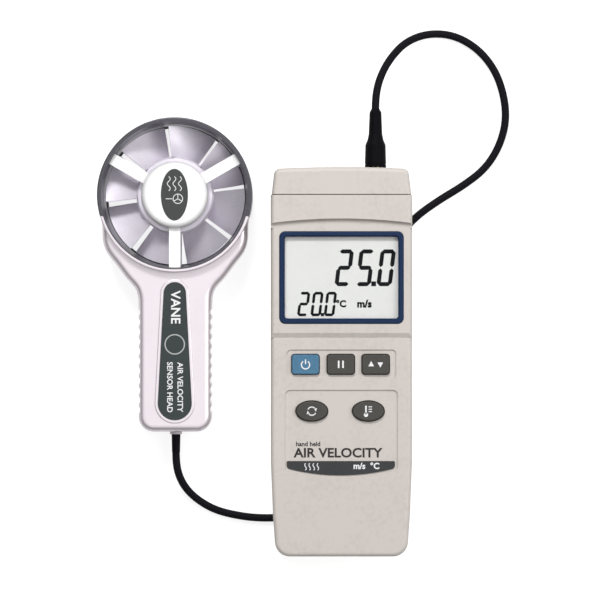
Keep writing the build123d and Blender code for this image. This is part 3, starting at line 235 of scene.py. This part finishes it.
def prisms(outlines, low, high):
    """Vertices and faces of upright prisms with counter-clockwise outlines."""
    vertices, faces = [], []
    for outline in outlines:
        first, count = len(vertices), len(outline)
        vertices += [(x, y, low) for x, y in outline]
        vertices += [(x, y, high) for x, y in outline]
        faces.append([first + count + i for i in range(count)])
        faces.append([first + i for i in reversed(range(count))])
        for i in range(count):
            after = (i + 1) % count
            faces.append([first + i, first + after, first + count + after, first + count + i])
    return vertices, faces


def stroke(points, width):
    """Outlines of the straight bars that follow a line of points."""
    outlines = []
    for start, end in zip(points, points[1:]):
        start, end = Vector(start), Vector(end)
        side = (end - start).orthogonal().normalized() * width / 2
        outlines.append([tuple(start - side), tuple(end - side), tuple(end + side), tuple(start + side)])
    return [outline if area(outline) > 0 else outline[::-1] for outline in outlines]


def area(outline):
    """Signed area, positive when the outline runs counter-clockwise."""
    pairs = zip(outline, outline[1:] + outline[:1])
    return sum(a[0] * b[1] - b[0] * a[1] for a, b in pairs) / 2


def ring_outlines(x, y, radius, width, start=0, sweep=360, steps=40):
    """Short bars round an arc."""
    angles = [math.radians(start + sweep * i / steps) for i in range(steps + 1)]
    inner, outer = radius - width / 2, radius + width / 2
    outlines = []
    for a, b in zip(angles, angles[1:]):
        outlines.append([
            (x + inner * math.cos(a), y + inner * math.sin(a)),
            (x + outer * math.cos(a), y + outer * math.sin(a)),
            (x + outer * math.cos(b), y + outer * math.sin(b)),
            (x + inner * math.cos(b), y + inner * math.sin(b)),
        ])
    return outlines


def wave(x, y, width, height, turns=2.5, steps=20):
    """Points of an upright wavy line."""
    return [
        (x + width * math.sin(2 * math.pi * turns * i / steps), y + height * (i / steps - 0.5))
        for i in range(steps + 1)
    ]


PRINT = 0.06 * MM                    # thickness of the ink


def print_on(name, outlines, origin, height, material, body):
    """Raised ink of millimetre outlines, at a place on a surface."""
    placed = [[(origin.x + x * MM, origin.y + y * MM) for x, y in outline] for outline in outlines]
    vertices, faces = prisms(placed, height, height + PRINT)
    mesh_piece(name, vertices, faces, material, body)


def text_on(name, words, place, size, origin, height, material, body, weight=0.0, stretch=1.0,
            turn=0.0):
    """Generic words as a thin mesh, centred on a place in mm. Weight thickens the strokes."""
    curve = bpy.data.curves.new(name + "_text", "FONT")
    curve.body = words
    curve.size = size * MM
    curve.align_x = "CENTER"
    curve.align_y = "CENTER"
    curve.extrude = PRINT / 2
    curve.offset = weight * MM
    curve.resolution_u = 3
    holder = bpy.data.objects.new(name + "_text", curve)
    bpy.context.scene.collection.objects.link(holder)
    bpy.context.view_layer.update()
    mesh = bpy.data.meshes.new_from_object(holder)
    bpy.data.objects.remove(holder)
    mesh.transform(Matrix.Diagonal((stretch, 1, 1, 1)))
    mesh.transform(Matrix.Rotation(turn, 4, "Z"))
    spot = Vector((origin.x + place[0] * MM, origin.y + place[1] * MM, height + PRINT / 2))
    mesh.transform(Matrix.Translation(spot))
    mesh.materials.clear()
    mesh.materials.append(material)
    piece = bpy.data.objects.new(name, mesh)
    bpy.context.scene.collection.objects.link(piece)
    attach(piece, body)


# --- Display ------------------------------------------------------------------------------
SEGMENTS = {"0": "abcdef", "2": "abged", "5": "afgcd"}
SLANT = math.tan(math.radians(7))


def segment_outlines(digit, x, y, width, height, thick):
    """Bars of a seven-segment digit whose lower left corner is at x, y."""
    half, gap = height / 2, thick * 0.14
    bar = thick / 2
    flat = {"a": height, "g": half, "d": 0}
    upright = {
        "f": (0, half, height), "b": (width, half, height), "e": (0, 0, half), "c": (width, 0, half),
    }
    outlines = []
    for name in SEGMENTS[digit]:
        if name in flat:
            level = min(max(flat[name], bar), height - bar)
            left, right = gap + bar * 0.4, width - gap - bar * 0.4
            shape = [
                (left, level), (left + bar, level - bar), (right - bar, level - bar),
                (right, level), (right - bar, level + bar), (left + bar, level + bar),
            ]
        else:
            side, low, high = upright[name]
            middle = min(max(side, bar), width - bar)
            low += gap + (bar * 0.4 if low == 0 else 0)
            high -= gap + (bar * 0.4 if high == height else 0)
            shape = [
                (middle, low), (middle + bar, low + bar), (middle + bar, high - bar),
                (middle, high), (middle - bar, high - bar), (middle - bar, low + bar),
            ]
        outlines.append([(x + px + SLANT * py, y + py) for px, py in shape])
    return outlines


def reading(words, x, y, width, height, thick, pitch):
    """Digits and points of one line on the display."""
    outlines = []
    for letter in words:
        if letter == ".":
            dot = thick * 1.15
            spot = x - pitch + width + (pitch - width - dot) / 2 + 0.1
            outlines.append([(spot, y), (spot + dot, y), (spot + dot, y + dot), (spot, y + dot)])
        else:
            outlines += segment_outlines(letter, x, y, width, height, thick)
            x += pitch
    return outlines


LCD_INSET = 0.15 * MM                # of the viewing area, below the panel's rim
LCD_FACE = top("lcd_panel") - LCD_INSET
big = reading("25.0", -3.3, 35.0, 7.1, 17.0, 1.9, 9.7)
small = reading("20.0", -20.6, 21.1, 4.9, 11.3, 1.3, 6.18)
print_on("display_digits", big + small, METER, LCD_FACE, INK_BLACK, "meter")
text_on("display_degree", "°C", (-0.2, 26.7), 4.3, METER, LCD_FACE, INK_BLACK, "meter",
        weight=0.2)
text_on("display_unit", "m/s", (10.6, 26.7), 4.7, METER, LCD_FACE, INK_BLACK, "meter",
        weight=0.22)

# --- Marks on keys, case and plate --------------------------------------------------------
KEY_TOP = top("power_button")


def facing_up(outlines):
    """The same outlines, each running counter-clockwise."""
    return [outline if area(outline) > 0 else outline[::-1] for outline in outlines]


def key_marks(node, body, outlines):
    """White marks on top of a key."""
    print_on(node + "_mark", facing_up(outlines), centre(node), KEY_TOP, INK_WHITE, body)


power = ring_outlines(0, -0.2, 1.9, 0.55, start=125, sweep=290, steps=24)
power += stroke([(0, 0.1), (0, 2.3)], 0.55)
key_marks("power_button", "power_key", power)
hold = stroke([(-1.0, -1.7), (-1.0, 1.7)], 0.75) + stroke([(1.0, -1.7), (1.0, 1.7)], 0.75)
key_marks("hold_button", "hold_key", hold)
arrows = [[(-3.4, -0.9), (-0.8, -0.9), (-2.1, 1.5)], [(0.8, 0.9), (3.4, 0.9), (2.1, -1.5)]]
key_marks("record_button", "record_key", arrows)
cycle = ring_outlines(0, 0, 1.9, 0.5, start=35, sweep=120, steps=14)
cycle += ring_outlines(0, 0, 1.9, 0.5, start=215, sweep=120, steps=14)
cycle += [[(0.85, 1.35), (2.4, 1.35), (1.9, -0.2)], [(-0.85, -1.35), (-2.4, -1.35), (-1.9, 0.2)]]
key_marks("unit_button", "unit_key", cycle)
thermometer = ring_outlines(-1.1, -1.7, 0.5, 1.0, steps=20) + stroke([(-1.1, -1.4), (-1.1, 2.5)], 0.75)
for level in (-0.2, 0.9, 2.0):
    thermometer += stroke([(0.1, level), (1.7, level)], 0.42)
key_marks("degree_button", "degree_key", thermometer)

PLATE_THICKNESS = 0.5 * MM
CASE_FACE = top("nameplate") - PLATE_THICKNESS
text_on("case_words", "AIR VELOCITY", (-1.6, -42.2), 6.0, METER, CASE_FACE, INK_GREY, "meter",
        weight=0.16, stretch=1.06)
text_on("case_small_words", "hand held", (-15.4, -38.0), 2.9, METER, CASE_FACE, INK_GREY, "meter",
        weight=0.08)
PLATE_FACE = top("nameplate")
plate = []
for number in range(4):
    plate += stroke(wave(-16.6 + 1.9 * number, -48.4, 0.35, 3.2, 1.0, 12), 0.42)
print_on("plate_marks", facing_up(plate), METER, PLATE_FACE, INK_WHITE, "meter")
text_on("plate_unit", "m/s  °C", (11.5, -48.2), 3.9, METER, PLATE_FACE, INK_WHITE, "meter",
        weight=0.12)

BADGE_TOP = top("hub_badge")
badge = []
for x in (-2.6, 0, 2.6):
    badge += stroke(wave(x, 4.4, 0.7, 6.6, 1.5), 0.34)
badge += ring_outlines(1.6, -2.6, 2.2, 0.32)
for angle in (90, 210, 330):
    tip = (1.6 + 2.1 * math.cos(math.radians(angle)), -2.6 + 2.1 * math.sin(math.radians(angle)))
    badge += stroke([(1.6, -2.6), tip], 0.34)
badge += stroke([(-4.0, -2.6), (-1.0, -2.6)], 0.34)
print_on("badge_marks", facing_up(badge), VANE, BADGE_TOP, INK_WHITE, "probe")

LABEL_TOP = top("handle_label")
DOWNWARDS = -math.pi / 2
print_on("label_ring", ring_outlines(0, -70.1, 4.5, 0.55, steps=48), VANE, LABEL_TOP, INK_GREY_LIGHT,
         "probe")
text_on("label_word", "VANE", (0.2, -52.9), 6.0, VANE, LABEL_TOP, INK_WHITE, "probe",
        weight=0.12, turn=DOWNWARDS)
text_on("label_words_upper", "AIR VELOCITY", (2.4, -90.0), 3.6, VANE, LABEL_TOP, INK_WHITE, "probe",
        weight=0.06, turn=DOWNWARDS)
text_on("label_words_lower", "SENSOR HEAD", (-2.4, -90.0), 3.6, VANE, LABEL_TOP, INK_WHITE, "probe",
        weight=0.06, turn=DOWNWARDS)

# --- Lead ---------------------------------------------------------------------------------
ROUTE = [
    (-37.0, -54.4, 7.0), (-37.0, -60.0, 7.0), (-35.2, -67.0, 6.2), (-31.4, -73.0, 4.6),
    (-26.0, -77.8, 3.0), (-19.0, -81.8, 2.1), (-10.4, -84.2, 1.8), (0.4, -85.8, 1.8),
    (14.0, -85.6, 1.8), (28.8, -81.4, 1.8), (42.6, -72.4, 1.8), (52.8, -59.4, 1.8),
    (59.2, -42.4, 1.8), (61.6, -24.0, 1.8), (61.8, -5.0, 1.8), (61.2, 13.6, 1.8),
    (62.0, 30.6, 1.8), (66.4, 45.4, 1.8), (75.0, 55.6, 1.8), (86.4, 63.8, 1.8),
    (98.2, 70.8, 1.8), (108.6, 78.8, 1.8), (115.2, 89.4, 1.8), (118.4, 101.4, 1.8),
    (117.2, 113.8, 1.8), (112.8, 125.8, 1.8), (104.6, 135.6, 1.8), (93.4, 141.8, 1.8),
    (81.0, 142.4, 2.6), (70.6, 138.0, 6.4), (63.4, 130.0, 11.4), (58.8, 121.6, 15.4),
    (56.4, 112.4, 17.0), (56.4, 106.0, 17.0),
]
CORD_DIAMETER = 3.6 * MM
line = bpy.data.curves.new("lead", "CURVE")
line.dimensions = "3D"
line.bevel_depth = CORD_DIAMETER / 2
line.bevel_resolution = 6
line.use_fill_caps = True
spline = line.splines.new("NURBS")
spline.points.add(len(ROUTE) - 1)
for point, place in zip(spline.points, ROUTE):
    point.co = (*[value * MM for value in place], 1)
spline.order_u = 3
spline.use_endpoint_u = True
spline.resolution_u = 10
lead = bpy.data.objects.new("lead", line)
bpy.context.scene.collection.objects.link(lead)
lead.data.materials.append(MATERIALS["cord_rubber"])
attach(lead, "probe")
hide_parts("sensor_cable")

# --- Floor, light and camera --------------------------------------------------------------
FLOOR_SIZE = 6
bpy.ops.mesh.primitive_plane_add(size=FLOOR_SIZE, location=(0, 0, 0))
floor = bpy.context.active_object
floor.name = "floor"
floor.data.materials.append(new_material(
    "floor_white", (0.42, 0.42, 0.42), 0.9, Specular_IOR_Level=0.0,
    Emission_Color=(1, 1, 1, 1), Emission_Strength=0.78))


LIGHT_AIM = (0.02, 0.02, 0)


def area_light(name, place, size, power):
    """A rectangular lamp that points at the object."""
    data = bpy.data.lights.new(name, "AREA")
    data.shape = "RECTANGLE"
    data.size, data.size_y = size
    data.energy = power
    lamp = bpy.data.objects.new(name, data)
    lamp.location = place
    lamp.rotation_euler = (Vector(place) - Vector(LIGHT_AIM)).to_track_quat("Z", "Y").to_euler()
    bpy.context.scene.collection.objects.link(lamp)


area_light("key_light", (-0.15, 0.85, 1.00), (0.4, 0.25), 11)
area_light("side_light", (0.95, 0.15, 1.00), (0.5, 0.9), 5)

# The sky is bright overhead and dark near the horizon, more so on the left, so that rounded
# sides shade off as they turn away.
BRIGHT_SIDE = (0.22, 0.22, 0.95)
world = bpy.data.worlds.new("studio")
world.use_nodes = True
world_nodes, world_links = world.node_tree.nodes, world.node_tree.links
direction = world_nodes.new("ShaderNodeTexCoord")
towards_top = world_nodes.new("ShaderNodeVectorMath")
towards_top.operation = "DOT_PRODUCT"
towards_top.inputs[1].default_value = BRIGHT_SIDE
sky = world_nodes.new("ShaderNodeValToRGB")
SKY = [(0.0, 0.02), (0.3, 0.08), (0.55, 0.35), (0.8, 0.90), (1.0, 0.95)]
while len(sky.color_ramp.elements) < len(SKY):
    sky.color_ramp.elements.new(0.5)
for element, (position, level) in zip(sky.color_ramp.elements, SKY):
    element.position = position
    element.color = (level, level, level, 1)
world_links.new(direction.outputs["Generated"], towards_top.inputs[0])
world_links.new(towards_top.outputs["Value"], sky.inputs["Fac"])
world_links.new(sky.outputs["Color"], world_nodes["Background"].inputs["Color"])
world_nodes["Background"].inputs["Strength"].default_value = 1.0
bpy.context.scene.world = world
bpy.context.scene.view_settings.view_transform = "Standard"

VIEW_WIDTH = 0.2769                  # of the picture, at the height of the display's face
CAMERA_HEIGHT = 1.6
FACE_HEIGHT = 0.034
SENSOR_WIDTH = 36
camera_data = bpy.data.cameras.new("camera")
camera_data.sensor_width = SENSOR_WIDTH
camera_data.lens = SENSOR_WIDTH * (CAMERA_HEIGHT - FACE_HEIGHT) / VIEW_WIDTH
camera = bpy.data.objects.new("camera", camera_data)
camera.location = (0.0212, 0.0169, CAMERA_HEIGHT)
bpy.context.scene.collection.objects.link(camera)
bpy.context.scene.camera = camera
